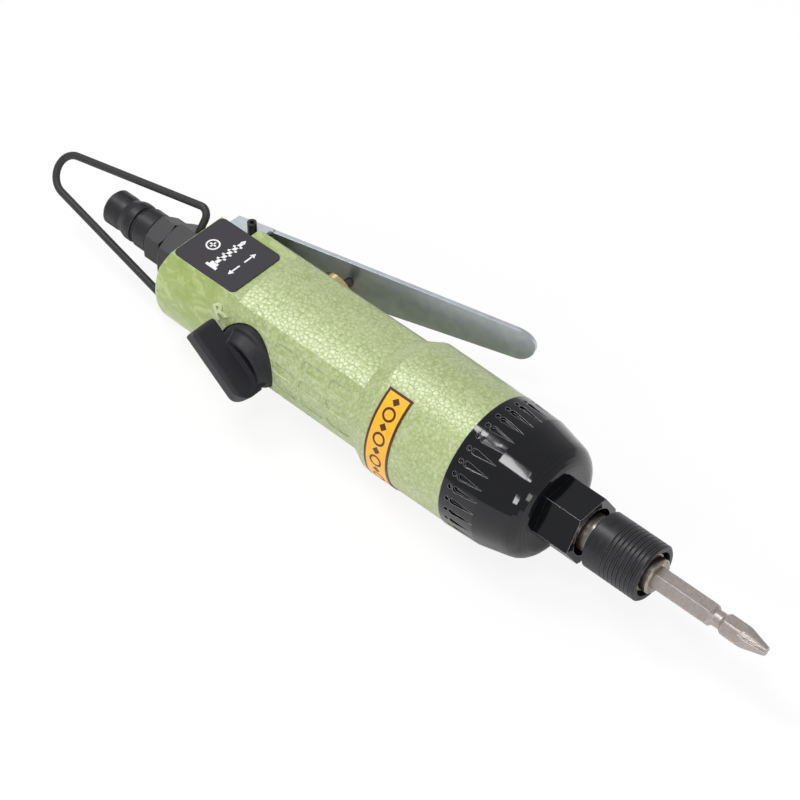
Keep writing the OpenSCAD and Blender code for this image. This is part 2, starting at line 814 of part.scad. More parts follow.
module knob_body() {
    translate([valve_x, 0, 0]) rotate([90, 0, 0]) rotate_extrude($fn = sides)
        polygon(concat([[0, recess_y + body_gap], [knob_r, recess_y + body_gap]],
            arc_points(knob_r - knob_bevel, disc_y, knob_bevel, 0, 90, 4),
            arc_points(dome_r - dome_round, dome_y - dome_round, dome_round, 0, 90, 4),
            [[0, dome_y]]));
}

// The half-moon pockets between the wing's ledges and the disc's wall
module knob_pockets() {
    wing_frame() difference() {
        translate([0, -slot_floor, 0]) rotate([90, 0, 0])
            cylinder(h = knob_reach - slot_floor, r = dome_r - knob_bevel, $fn = sides);
        translate([-knob_r, -knob_reach - cut, -wing_t / 2 - wing_ledge])
            cube([2 * knob_r, knob_reach, wing_t + 2 * wing_ledge]);
    }
}

module reverse_knob() {
    color([0.17, 0.17, 0.19]) difference() {
        union() {
            difference() {
                knob_body();
                knob_pockets();
            }
            wing_frame() wing();
        }
        rod_y(-spool_key_y, -recess_y + cut, spool_key_r);
    }
}

module reverse_spool() {
    color([0.75, 0.75, 0.73]) difference() {
        union() {
            rod_y(-recess_y, -spool_end_y, cross_bore_r - run_gap);
            rod_y(-spool_key_y, -recess_y + cut, spool_key_r);
        }
        rod_y(-detent_y - port_r, -spool_end_y + cut, spool_well_r);
        translate([valve_x, -detent_y, 0]) rotate([0, -spool_port_angle, 0])
            cylinder(h = cross_bore_r + cut, r = port_r, $fn = sides);
        translate([valve_x, -o_ring_y, 0]) rotate([90, 0, 0]) rotate_extrude($fn = sides)
            translate([o_ring_at - o_ring_r - fit_gap, -o_ring_r - fit_gap])
                square([2 * o_ring_r + cut, 2 * (o_ring_r + fit_gap)]);
        translate([valve_x, -detent_y, 0]) rotate([90, 0, 0]) rotate_extrude($fn = sides)
            translate([detent_at, 0]) circle(r = detent_r + run_gap, $fn = sides);
    }
}

module spool_o_ring() {
    color([0.1, 0.1, 0.1]) translate([valve_x, -o_ring_y, 0]) rotate([90, 0, 0])
        rotate_extrude($fn = sides) translate([o_ring_at, 0]) circle(r = o_ring_r, $fn = sides);
}

module detent_ball() {
    color([0.8, 0.8, 0.8]) translate([valve_x, -detent_y, -detent_at]) sphere(r = detent_r, $fn = sides);
}

module detent_spring() {
    color([0.7, 0.7, 0.72]) translate([valve_x, -detent_y, 0]) rotate([0, -90, 0])
        coil_x(-cross_bore_r - detent_spring_len, -detent_at - detent_r, detent_r - valve_spring_wire_r,
            valve_spring_wire_r, detent_spring_turns);
}

// Motor
module rear_end_plate() {
    color([0.6, 0.6, 0.6]) difference() {
        rod_x(motor_x, liner_x, liner_r);
        rod_x(motor_x - cut, motor_x + bearing_w + plate_web, bearing_r + fit_gap);
        rod_x(motor_x, liner_x + cut, shaft_r + body_gap);
        rod_x(liner_x - dowel_in, liner_x + cut, pin_dowel_r + fit_gap, 0, -dowel_z);
    }
}

module motor_cylinder() {
    color([0.55, 0.56, 0.57]) difference() {
        rod_x(liner_x, mech_x, liner_r);
        rod_x(liner_x - cut, mech_x + cut, liner_bore_r, 0, liner_offset);
        rod_x(liner_x - cut, liner_x + dowel_in, pin_dowel_r + fit_gap, 0, -dowel_z);
        exhaust_holes();
    }
}

module cylinder_pin() {
    color([0.8, 0.8, 0.8]) rod_x(liner_x - dowel_in, liner_x + dowel_in, pin_dowel_r, 0, -dowel_z);
}

module front_end_plate() {
    color([0.6, 0.6, 0.6]) difference() {
        rod_x(mech_x, mech_x + front_plate_t, front_plate_r);
        rod_x(front_bearing_x, mech_x + front_plate_t + cut, bearing_r + fit_gap);
        rod_x(mech_x - cut, mech_x + front_plate_t, shaft_r + body_gap);
    }
}

module case_gasket() {
    color([0.35, 0.25, 0.2])
        tube_x(mech_x + front_plate_t, case_x, front_plate_r, front_plate_r - gasket_w);
}

bearing_places = [motor_x + plate_web, front_bearing_x];

module race_groove(x) {
    translate([x + bearing_w / 2, 0, 0]) rotate([0, 90, 0]) rotate_extrude($fn = sides)
        translate([ball_pitch_r, 0]) circle(r = ball_r + run_gap, $fn = sides);
}

module bearing_outer_races() {
    color([0.75, 0.75, 0.77]) for (x = bearing_places) difference() {
        tube_x(x, x + bearing_w, bearing_r, outer_race_r);
        race_groove(x);
    }
}

module bearing_inner_races() {
    color([0.75, 0.75, 0.77]) for (x = bearing_places) difference() {
        tube_x(x, x + bearing_w, inner_race_r, shaft_r);
        race_groove(x);
    }
}

module bearing_balls() {
    color([0.85, 0.85, 0.87]) for (x = bearing_places, k = [0:ball_count - 1])
        rotate([360 * k / ball_count, 0, 0]) translate([x + bearing_w / 2, ball_pitch_r, 0])
            sphere(r = ball_r, $fn = sides);
}

module vane_slots(gap, from, to) {
    for (k = [0:vane_count - 1]) rotate([360 * k / vane_count, 0, 0])
        translate([from, rotor_r - vane_depth, -vane_t / 2 - gap])
            cube([to - from, vane_depth + cut, vane_t + 2 * gap]);
}

module rotor() {
    color([0.62, 0.62, 0.64]) difference() {
        union() {
            rod_x(liner_x + motor_gap, mech_x - motor_gap, rotor_r);
            rod_x(motor_x + plate_web, cage_x + cage_wall, shaft_r);
        }
        vane_slots(run_gap, liner_x, mech_x);
    }
}

module vanes() {
    color([0.45, 0.3, 0.2]) intersection() {
        vane_slots(0, liner_x + motor_gap, mech_x - motor_gap);
        rod_x(liner_x, mech_x, rotor_r + vane_out);
    }
}

// Impact drive
dog_len = (cage_end - cage_x - 2 * cage_wall - 3 * dog_gap) / 2;
dog_x = [cage_x + cage_wall + dog_gap, cage_x + cage_wall + 2 * dog_gap + dog_len];

module hammer_cage() {
    color([0.5, 0.5, 0.52]) difference() {
        rod_x(cage_x, cage_end, cage_r);
        translate([cage_x + cage_wall, -cage_r - cut, -cage_slot / 2])
            cube([cage_end - cage_x - 2 * cage_wall, 2 * cage_r + 2 * cut, cage_slot]);
        rod_x(cage_x - cut, cage_x + cage_wall + cut, shaft_r);
        rod_x(cage_end - cage_wall - cut, cage_end + cut, anvil_shank_r + body_gap);
        for (y = [-pivot_at, pivot_at]) rod_x(cage_x + cage_wall / 2, cage_end - cage_wall / 2, pivot_r, y);
    }
}

module hammer_dogs() {
    color([0.45, 0.45, 0.47]) for (i = [0, 1]) difference() {
        intersection() {
            rod_x(dog_x[i], dog_x[i] + dog_len, cage_r - body_gap);
            translate([dog_x[i], -cage_r, -cage_slot / 2 + dog_gap])
                cube([dog_len, 2 * cage_r, cage_slot - 2 * dog_gap]);
        }
        difference() {
            rod_x(dog_x[i] - cut, dog_x[i] + dog_len + cut, dog_hole_r);
            translate([dog_x[i], -dog_jaw_w / 2, i == 0 ? dog_jaw_r : -dog_jaw_r - dog_hole_r])
                cube([dog_len, dog_jaw_w, dog_hole_r]);
        }
        for (y = [-pivot_at, pivot_at])
            rod_x(dog_x[i] - cut, dog_x[i] + dog_len + cut, pivot_r + run_gap, y);
    }
}

module hammer_pins() {
    color([0.75, 0.75, 0.76]) for (y = [-pivot_at, pivot_at])
        rod_x(cage_x + cage_wall / 2, cage_end - cage_wall / 2, pivot_r, y);
}

// The front of the hammer case, which the cover fits over with a gap
module case_front(from, gap) {
    turned([[0, from], [case_r + gap, from], [case_r + gap, cover_side_x],
        [case_r - case_bevel + gap, cover_side_x + case_bevel_len],
        [case_r - case_dome + gap, cover_front_x - cover_lap], [0, cover_front_x - cover_lap]]);
    hex_x(cover_front_x - 2 * cover_lap, nose_x, nose_af + 2 * gap, nose_turn, nose_chamfer);
}

module hammer_case() {
    color([0.1, 0.1, 0.11]) difference() {
        union() {
            rod_x(case_x, front_x + cut, mech_bore_r - fit_gap);
            case_front(front_x + fit_gap, 0);
        }
        rod_x(case_x - cut, case_front_x, case_bore_r);
        rod_x(case_x, nose_x + cut, anvil_r + bush_wall + fit_gap);
        rod_x(nose_x - nose_recess, nose_x + cut, anvil_r + bush_wall + nose_recess_gap);
    }
}

module case_cover() {
    color([0.09, 0.09, 0.1]) difference() {
        turned([[0, front_x], [cover_r, front_x], [cover_side_r, cover_side_x],
            for (a = [dome_arc_from:dome_arc_step:90])
                [dome_arc_centre_r + dome_arc_r * cos(a), cover_front_x - dome_arc_r * (1 - sin(a))],
            [0, cover_front_x]]);
        case_front(front_x - cut, fit_gap);
        for (k = [0:slot_count - 1]) rotate([360 * k / slot_count, 0, 0])
            translate([front_x, cover_side_r - slot_depth, 0]) rotate([-90, 0, 0])
                linear_extrude(cover_r) slot_plan();
    }
}

// A slot in the cover seen from outside: a small round pit, then a slot that ends in a point
module slot_plan() {
    round_x = slot_start + 2 * slot_pit_r + slot_rib + slot_round_r;
    translate([slot_start + slot_pit_r, 0]) circle(r = slot_pit_r, $fn = plan_sides);
    translate([round_x, 0]) circle(r = slot_round_r, $fn = plan_sides);
    polygon([[round_x, -slot_round_r], [round_x - slot_round_r + slot_length, 0],
        [round_x, slot_round_r]]);
}

module nose_bush() {
    color([0.75, 0.55, 0.3])
        tube_x(case_front_x, nose_x - nose_recess, anvil_r + bush_wall, anvil_r + run_gap);
}

// Bit holder
module anvil() {
    color([0.6, 0.57, 0.53]) difference() {
        union() {
            rod_x(cage_x + cage_wall + dog_gap, cage_end, anvil_shank_r);
            for (turn = [0, 180]) rotate([turn, 0, 0]) intersection() {
                translate([dog_x[0], 0, -jaw_w / 2]) cube([2 * dog_len + dog_gap, jaw_r, jaw_w]);
                rod_x(dog_x[0], dog_x[1] + dog_len, jaw_r);
            }
            rod_x(cage_end - cut, snap_x + snap_t + anvil_rim, anvil_r);
            turned([[0, snap_x], [anvil_tip_r, snap_x], [anvil_tip_r, anvil_end - anvil_bevel],
                [anvil_tip_r - anvil_bevel, anvil_end], [0, anvil_end]]);
        }
        hex_x(socket_floor, anvil_end + cut, bit_af + 2 * run_gap, nose_turn, 0);
        tube_x(snap_x, snap_x + snap_t, anvil_r + cut, anvil_r - snap_depth);
        translate([retain_x, 0, 0]) cylinder(h = anvil_r + cut, r = retain_r + run_gap, $fn = sides);
    }
}

// One end of the bit, with its tip at x = 0: cross-point flutes, head, locking neck and half the shank
module bit_end() {
    difference() {
        turned([[0, 0], [tip_r, 0], [head_r, tip_len], [head_r, neck_at - neck_len / 2 - neck_taper / 2],
            [neck_r, neck_at - neck_len / 2 + neck_round], [neck_r, neck_at + neck_len / 2 - neck_round],
            [bit_corner_r, neck_at + neck_len / 2 + neck_taper / 2],
            [bit_corner_r, bit_len / 2 + cut], [0, bit_len / 2 + cut]]);
        for (k = [0:3]) rotate([90 * k + 45, 0, 0]) rotate([0, 0, flute_angle])
            translate([-cut - flute_lead, flute_at, 0]) rotate([-45, 0, 0])
                cube([neck_at - neck_len, head_r, head_r]);
    }
}

module bit() {
    color([0.62, 0.58, 0.56]) intersection() {
        translate([bit_x, 0, 0]) {
            bit_end();
            translate([bit_len, 0, 0]) mirror([1, 0, 0]) bit_end();
        }
        hex_x(bit_x, bit_x + bit_len, bit_af, nose_turn, 0);
    }
}

module retaining_ball() {
    color([0.8, 0.8, 0.8]) translate([retain_x, 0, neck_r + run_gap + retain_r])
        sphere(r = retain_r, $fn = sides);
}

module sleeve() {
    color([0.19, 0.19, 0.21]) difference() {
        turned([[0, sleeve_x], [sleeve_r - sleeve_bevel, sleeve_x], [sleeve_r, sleeve_x + sleeve_bevel],
            [sleeve_r, sleeve_end - sleeve_bevel], [sleeve_r - sleeve_bevel, sleeve_end], [0, sleeve_end]]);
        rod_x(sleeve_x - cut, sleeve_end + cut, land_r);
        rod_x(sleeve_x + guide_len, retain_x - land_back, pocket_r);
        rod_x(retain_x + land_front, sleeve_end + cut, pocket_r);
        for (k = [0:ring_count - 1]) translate([ring_x - (k + 0.5) * ring_groove_w, 0, 0])
            rotate([0, 90, 0]) rotate_extrude($fn = sides)
                polygon([[sleeve_r + cut, -ring_groove_w / 2], [sleeve_r - ring_groove_d, 0],
                    [sleeve_r + cut, ring_groove_w / 2]]);
    }
}

module sleeve_spring() {
    color([0.7, 0.7, 0.72])
        coil_x(retain_x + land_front + fit_gap, snap_x - washer_t - fit_gap, coil_r, coil_wire_r,
            coil_turns);
}

module spring_washer() {
    color([0.65, 0.63, 0.6]) tube_x(snap_x - washer_t, snap_x, pocket_r - 2 * run_gap, land_r);
}

module snap_ring() {
    color([0.45, 0.44, 0.42]) difference() {
        tube_x(snap_x, snap_x + snap_t, snap_r, anvil_r - snap_depth);
        translate([snap_x - cut, 0, -snap_mouth / 2]) cube([snap_t + 2 * cut, snap_r + cut, snap_mouth]);
    }
}

housing();
name_plate();
side_label();
inlet_bushing();
hose_plug();
inlet_screen();
bail();
lever();
lever_pin();
valve_bushing();
valve_stem();
valve_disc();
valve_spring();
reverse_knob();
reverse_spool();
spool_o_ring();
detent_ball();
detent_spring();
rear_end_plate();
motor_cylinder();
cylinder_pin();
front_end_plate();
case_gasket();
bearing_outer_races();
bearing_inner_races();
bearing_balls();
rotor();
vanes();
hammer_cage();
hammer_dogs();
hammer_pins();
hammer_case();
case_cover();
nose_bush();
anvil();
bit();
retaining_ball();
sleeve();
sleeve_spring();
spring_washer();
snap_ring();
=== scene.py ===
# %% [markdown]
# # An air screwdriver in its studio
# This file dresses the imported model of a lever-start air screwdriver: hammered enamel, steel, brass and
# black finishes, the printed plate and label, the raised letters at the reverse knob, two springs that
# close up, a pale floor, lamps and a camera. The model itself comes from the frame, and so do the places
# of what is added. Other sizes on the tool are written in millimetres, and those of the studio in metres.

# %% Load the frame
import math

import bpy
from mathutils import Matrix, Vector


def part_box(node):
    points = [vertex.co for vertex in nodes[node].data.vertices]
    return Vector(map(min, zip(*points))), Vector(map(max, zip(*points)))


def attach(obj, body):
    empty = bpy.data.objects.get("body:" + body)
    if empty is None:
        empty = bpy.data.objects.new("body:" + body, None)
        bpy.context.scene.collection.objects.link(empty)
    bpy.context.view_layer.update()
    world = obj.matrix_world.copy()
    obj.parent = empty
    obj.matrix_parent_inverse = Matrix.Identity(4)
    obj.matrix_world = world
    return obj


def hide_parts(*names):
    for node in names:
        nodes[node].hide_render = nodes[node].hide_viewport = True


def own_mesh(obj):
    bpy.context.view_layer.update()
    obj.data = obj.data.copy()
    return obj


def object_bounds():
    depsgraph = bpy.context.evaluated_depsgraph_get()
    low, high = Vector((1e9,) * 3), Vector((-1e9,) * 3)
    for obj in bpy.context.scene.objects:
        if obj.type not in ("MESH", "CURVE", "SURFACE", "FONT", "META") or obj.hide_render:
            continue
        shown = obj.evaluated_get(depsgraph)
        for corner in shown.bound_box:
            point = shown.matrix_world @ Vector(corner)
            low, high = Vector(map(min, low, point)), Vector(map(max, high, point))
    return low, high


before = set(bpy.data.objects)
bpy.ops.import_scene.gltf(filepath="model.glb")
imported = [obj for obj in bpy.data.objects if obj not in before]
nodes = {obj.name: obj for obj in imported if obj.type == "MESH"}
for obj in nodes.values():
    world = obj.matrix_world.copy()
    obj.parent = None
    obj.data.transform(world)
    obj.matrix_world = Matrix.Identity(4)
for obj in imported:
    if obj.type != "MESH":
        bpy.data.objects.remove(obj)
cad_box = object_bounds()
mm = 0.001
print("nodes loaded:", len(nodes))

# %% [markdown]
# ## Colours as a screen shows them
# A shader takes linear colours, but a colour is easier to pick as it looks on a screen. One helper turns
# the screen's values into linear ones, so every colour below is written as it should look.


# %% Screen colours
def screen_colour(red, green, blue):
    """A colour given as 0 to 255 screen values, as the linear colour that a shader takes."""
    shares = [value / 255 for value in (red, green, blue)]
    linear = [s / 12.92 if s <= 0.04045 else ((s + 0.055) / 1.055) ** 2.4 for s in shares]
    return (*linear, 1)


# %% [markdown]
# ## A small kit for finishes
# A finish is a Principled shader that is fed by procedural textures in Object coordinates. Its nodes could
# be laid by hand in the shader editor. A small class does the same in code: each call adds a texture or a
# step of arithmetic and returns the socket that the next call takes, so a finish reads like a recipe.

# %% The finish class
bevel_samples = 6


class Finish:
    """One material: its node tree, its Principled shader and short calls that add textures to it."""

    def __init__(self, name, roughness=0.5, metallic=0.0, coat=0.0, shine=0.5):
        self.material = bpy.data.materials.new(name)
        self.material.use_nodes = True
        self.tree = self.material.node_tree
        self.shader = self.tree.nodes["Principled BSDF"]
        inputs = self.shader.inputs
        inputs["Roughness"].default_value = roughness
        inputs["Metallic"].default_value = metallic
        inputs["Coat Weight"].default_value = coat
        inputs["Specular IOR Level"].default_value = shine
        self.place = self.add("ShaderNodeTexCoord").outputs["Object"]

    def add(self, kind, **values):
        """A node; each value is a socket to link, a number for an input, or one of the node's settings."""
        node = self.tree.nodes.new(kind)
        for name, value in values.items():
            if isinstance(value, bpy.types.NodeSocket):
                self.tree.links.new(value, node.inputs[name])
            elif name in node.inputs:
                node.inputs[name].default_value = value
            else:
                setattr(node, name, value)
        return node

    def fill(self, socket, value):
        """Links the value to the socket, or sets it there if it is a number or a colour."""
        if isinstance(value, bpy.types.NodeSocket):
            self.tree.links.new(value, socket)
        else:
            socket.default_value = value

    def link(self, socket, target):
        """Links a socket to an input of the shader."""
        self.tree.links.new(socket, self.shader.inputs[target])

    def maths(self, operation, *values):
        """A Math node; its values are sockets or numbers."""
        node = self.add("ShaderNodeMath", operation=operation)
        for socket, value in zip(node.inputs, values):
            self.fill(socket, value)
        return node.outputs["Value"]

    def stretched(self, along, across):
        """Object coordinates scaled along the tool's axis and across it, in waves a millimetre."""
        scale = (along / mm, across / mm, across / mm)
        return self.add("ShaderNodeMapping", Vector=self.place, Scale=scale).outputs["Vector"]

    def noise(self, size, detail=3.0, place=None, swirl=0.0):
        """Noise with patches of about this size, in metres; swirl draws them out into curls."""
        where = place or self.place
        node = self.add("ShaderNodeTexNoise", Vector=where, Detail=detail, Scale=1 / size, Distortion=swirl)
        return node.outputs["Fac"]

    def ramp(self, factor, stops):
        """A colour ramp between two stops, each a (position, colour)."""
        node = self.add("ShaderNodeValToRGB", Fac=factor)
        for element, (position, colour) in zip(node.color_ramp.elements, stops):
            element.position = position
            element.color = colour
        return node.outputs["Color"]

    def spread(self, factor, low, high, start=0.0, end=1.0):
        """Turns a factor between start and end into a number between low and high."""
        node = self.add("ShaderNodeMapRange", Value=factor, **{"From Min": start, "From Max": end})
        node.inputs["To Min"].default_value = low
        node.inputs["To Max"].default_value = high
        return node.outputs["Result"]

    def blend(self, factor, first, second):
        """The first colour where the factor is 0 and the second where it is 1."""
        node = self.add("ShaderNodeMix", data_type="RGBA")
        in_use = {socket.name: socket for socket in node.inputs if socket.enabled}
        for name, value in (("Factor", factor), ("A", first), ("B", second)):
            self.fill(in_use[name], value)
        return [socket for socket in node.outputs if socket.enabled][0]

    def rounded_normal(self, radius):
        """The normal as it would be if edges were rounded to this radius."""
        return self.add("ShaderNodeBevel", samples=bevel_samples, Radius=radius).outputs["Normal"]

    def bump(self, height, depth, strength, edge):
        """Bumps of this depth, in metres, from a height socket, on edges rounded to this radius."""
        node = self.add("ShaderNodeBump", Height=height, Distance=depth, Strength=strength)
        self.fill(node.inputs["Normal"], self.rounded_normal(edge))
        self.link(node.outputs["Normal"], "Normal")
        self.link(node.outputs["Normal"], "Coat Normal")

    def rims(self, radius):
        """1 along edges, where a normal rounded to this radius leaves the plain one, and 0 elsewhere."""
        edge_cosine = 0.93
        flat_cosine = 0.99
        both = self.add("ShaderNodeVectorMath", operation="DOT_PRODUCT")
        self.fill(both.inputs[0], self.rounded_normal(radius))
        self.fill(both.inputs[1], self.add("ShaderNodeNewGeometry").outputs["Normal"])
        return self.spread(both.outputs["Value"], 1.0, 0.0, edge_cosine, flat_cosine)

    def on(self, *names):
        """Puts the finish on these CAD nodes."""
        for name in names:
            mesh = nodes[name].data
            mesh.materials.clear()
            mesh.materials.append(self.material)
        print("finish", self.material.name, "on", ", ".join(names))


# %% [markdown]
# ## Hammered enamel: the pools
# The green coat is a hammer enamel: a metal-flake paint whose silicone pulls it into small round pools with
# darker seams. The dents could be sculpted, but there are thousands, and a texture gives them all at once.
# Voronoi cells are the pools, and a little noise bends them so that none has straight sides. Each pool is a
# low dome, which later breaks the long highlight into specks.

# %% Pools
pool_size = 1.45 * mm
bend = 0.7 * mm
seam_share = 0.14
rim_share = 0.15
rim_height = 0.25

enamel = Finish("hammered_enamel", roughness=0.45, metallic=0.1, coat=0.6)
enamel.shader.inputs["Coat Roughness"].default_value = 0.3
wander = enamel.add("ShaderNodeTexNoise", Vector=enamel.place, Scale=1 / pool_size, Detail=2.0)
bent = enamel.add("ShaderNodeVectorMath", operation="MULTIPLY_ADD")
enamel.fill(bent.inputs[0], wander.outputs["Color"])
enamel.fill(bent.inputs[1], (bend, bend, bend))
enamel.fill(bent.inputs[2], enamel.place)


def pool_distance(feature):
    """How far a point is from its pool's middle, or from the nearest seam, in pool sizes."""
    cells = enamel.add("ShaderNodeTexVoronoi", Vector=bent.outputs["Vector"], Scale=1 / pool_size,
                       feature=feature)
    return cells.outputs["Distance"]


to_seam = pool_distance("DISTANCE_TO_EDGE")
from_middle = pool_distance("F1")
seams = enamel.spread(to_seam, 1.0, 0.0, 0.0, seam_share)
rise = enamel.spread(to_seam, 0.0, rim_height, 0.0, rim_share)
domes = enamel.maths("SUBTRACT", rise, enamel.maths("MULTIPLY", from_middle, from_middle))
print("pools of", pool_size / mm, "mm")

# %% [markdown]
# ## Hammered enamel: where it flows
# Around the plate and the knob the casting was filled, so the pools fade there into curls with thin flow
# lines. Two materials would meet in a line, so one material holds both: how far along the tool a point is
# tells them apart, and noise on that distance keeps the border ragged.

# %% Pools and flow
smooth_until = 62 * mm
pools_from = 76 * mm
ragged_reach = 8 * mm
ragged_patch = 9 * mm
streaks_along = 0.14
streaks_across = 0.22
curl = 1.2
line_share = 0.02
line_strength = 0.55

along_tool = enamel.add("ShaderNodeSeparateXYZ", Vector=enamel.place).outputs["X"]
ragged = enamel.maths("MULTIPLY", enamel.noise(ragged_patch), ragged_reach)
hammered = enamel.spread(enamel.maths("ADD", along_tool, ragged), 0.0, 1.0, smooth_until, pools_from)
stretched_place = enamel.stretched(streaks_along, streaks_across)
streaks = enamel.noise(1.0, detail=4.0, place=stretched_place, swirl=curl)
off_line = enamel.maths("ABSOLUTE", enamel.maths("SUBTRACT", streaks, 0.5))
flow_lines = enamel.spread(off_line, line_strength, 0.0, 0.0, line_share)
print("flow until", smooth_until / mm, "mm and pools from", pools_from / mm, "mm")

# %% [markdown]
# ## Hammered enamel: its greens
# The green changes a little from pool to pool, the seams between them are darker in some patches only, and
# the coat is paler along the edges of the casting. One blend after the other lays these
# colours over each other, from the widest to the narrowest.

# %% Greens
pool_green = screen_colour(160, 175, 116)
pool_pale = screen_colour(190, 198, 154)
seam_green = screen_colour(130, 148, 86)
flow_green = screen_colour(146, 164, 86)
flow_pale = screen_colour(176, 190, 126)
line_green = screen_colour(122, 138, 74)
pale_edge_green = screen_colour(206, 214, 180)
pool_patch = 1.1 * mm
seam_patch = 5 * mm
seam_faint = 0.15
seam_strong = 0.7
pale_edge_width = 0.35 * mm
pale_edge_share = 0.6

pool_colour = enamel.ramp(enamel.noise(pool_patch), [(0.35, pool_green), (0.7, pool_pale)])
dark_patches = enamel.spread(enamel.noise(seam_patch), seam_faint, seam_strong, 0.35, 0.65)
hammer_colour = enamel.blend(enamel.maths("MULTIPLY", seams, dark_patches), pool_colour, seam_green)
flow_colour = enamel.ramp(streaks, [(0.35, flow_green), (0.65, flow_pale)])
lined_colour = enamel.blend(flow_lines, flow_colour, line_green)
coat_colour = enamel.blend(hammered, lined_colour, hammer_colour)
# The coat is paler along the casting's edges, over the width of the edge mask.
pale_edges = enamel.maths("MULTIPLY", enamel.rims(pale_edge_width), pale_edge_share)
enamel.link(enamel.blend(pale_edges, coat_colour, pale_edge_green), "Base Color")
print("edges worn pale over", pale_edge_width / mm, "mm")

# %% [markdown]
# ## Hammered enamel: its relief
# The same domes and streaks now drive a Bump node, so light and colour agree. The domes are weak where the
# coat flows. Cast edges are never sharp, and a rounded normal under the bumps gives them their soft line.

# %% Relief
pool_rise = 0.11 * mm
cast_edge = 0.4 * mm
flow_share = 0.25
streak_share = 0.6
relief_strength = 0.9

pool_height = enamel.maths("MULTIPLY", domes, enamel.spread(hammered, flow_share, 1.0))
streak_height = enamel.maths("MULTIPLY", streaks, streak_share)
relief = enamel.maths("ADD", pool_height, streak_height)
enamel.bump(relief, pool_rise, relief_strength, cast_edge)
enamel.on("housing")

# %% [markdown]
# ## A metal with fine marks
# Turned and drawn pieces have fine marks across the axis of the tool. They could be a bump alone, but real
# marks catch the light because their roughness changes too. So one stretched noise drives the colour, the
# roughness and the bump, and edges may be given a lighter colour of their own: a painted highlight, which on
# the blackened pieces also stands for wear.

# %% Marked metal
rim_width = 0.22 * mm
mark_strength = 0.4
polished_share = 0.8
dull_share = 1.3


def metal(name, dark, light, roughness, along=6.0, across=0.4, metallic=1.0, depth=0.01, coat=0.0,
          shine=0.5, edge=0.25, rim=None):
    """A metal with marks; along and across are marks a millimetre, depth and edge are millimetres."""
    finish = Finish(name, roughness, metallic, coat, shine)
    marks = finish.noise(1.0, detail=4.0, place=finish.stretched(along, across))
    colour = finish.ramp(marks, [(0.3, dark), (0.7, light)])
    # A rim colour is a painted highlight along the edges; on the blackened pieces it also stands for wear.
    if rim:
        colour = finish.blend(finish.rims(rim_width), colour, rim)
    finish.link(colour, "Base Color")
    dullness = finish.spread(marks, roughness * polished_share, roughness * dull_share)
    finish.link(dullness, "Roughness")
    finish.bump(marks, depth * mm, mark_strength, edge * mm)
    return finish


# %% [markdown]
# ## Steels, brass and bronze
# The lever is zinc-plated sheet, dull and a little cloudy, so its marks are wide. The motor, the bearings
# and the hammer are ground or heat-treated steel, the valve's bushing is brass and the nose bush is bronze
# that holds oil. Each is the same marked metal with its own two colours.

# %% Bright metals
# The last colour is a painted highlight along the lever's edges.
lever_finish = metal("zinc_plate", screen_colour(182, 188, 196), screen_colour(200, 205, 213), 0.34,
                     0.3, 0.3, metallic=0.7, depth=0.004, rim=screen_colour(212, 216, 222))
lever_finish.on("lever")
brass = metal("turned_brass", screen_colour(206, 178, 122), screen_colour(238, 216, 168), 0.25)
brass.on("valve_bushing", "inlet_screen")
bronze = metal("sintered_bronze", screen_colour(62, 50, 36), screen_colour(88, 70, 48), 0.55, 2, 2)
bronze.on("nose_bush")
steel = metal("ground_steel", screen_colour(150, 150, 152), screen_colour(205, 205, 207), 0.25)
steel.on("reverse_spool", "detent_ball", "rear_end_plate", "cylinder_pin", "front_end_plate",
         "bearing_outer_races", "bearing_inner_races", "bearing_balls", "rotor", "hammer_pins",
         "retaining_ball")
dark_steel = metal("heat_treated_steel", screen_colour(82, 80, 80), screen_colour(122, 118, 116), 0.38)
dark_steel.on("valve_stem", "motor_cylinder", "hammer_cage", "hammer_dogs", "snap_ring")
spring_steel = metal("spring_wire", screen_colour(140, 140, 144), screen_colour(190, 190, 194), 0.28)
spring_steel.on("detent_spring")
anvil_finish = metal("oiled_anvil", screen_colour(128, 120, 112), screen_colour(186, 177, 168), 0.3, 8)
anvil_finish.on("anvil", "spring_washer")
# The last colour is a painted highlight along the bit's edges.
bit_finish = metal("blasted_nickel", screen_colour(168, 158, 154), screen_colour(184, 174, 170), 0.38,
                   1.2, 1.2, metallic=0.85, rim=screen_colour(214, 206, 202))
bit_finish.on("bit")

# %% [markdown]
# ## Black oxide and gloss
# The plug, the bushing, the bail and the sleeve are steel blackened in a hot bath, so they keep a soft
# sheen, and the hammer case and its cover are glossy. A black surface shows hardly anything but its
# reflections, so each has a lower shine than the plain metals. Lighter edges draw its form: a painted
# highlight, which on the oxide and the sleeve also stands for wear.


# %% Blackened pieces
def black(name, dark, light, roughness, coat=0.0, along=3.0, across=3.0, depth=0.01, shine=0.3, edge=0.25,
          rim=None):
    """A dark finish that is no bare metal, with the same marks as one."""
    return metal(name, dark, light, roughness, along, across, 0.0, depth, coat, shine, edge, rim)


# Edges of the oxide and the sleeve: painted highlight and wear in one colour.
worn_and_highlit_black = screen_colour(84, 84, 90)
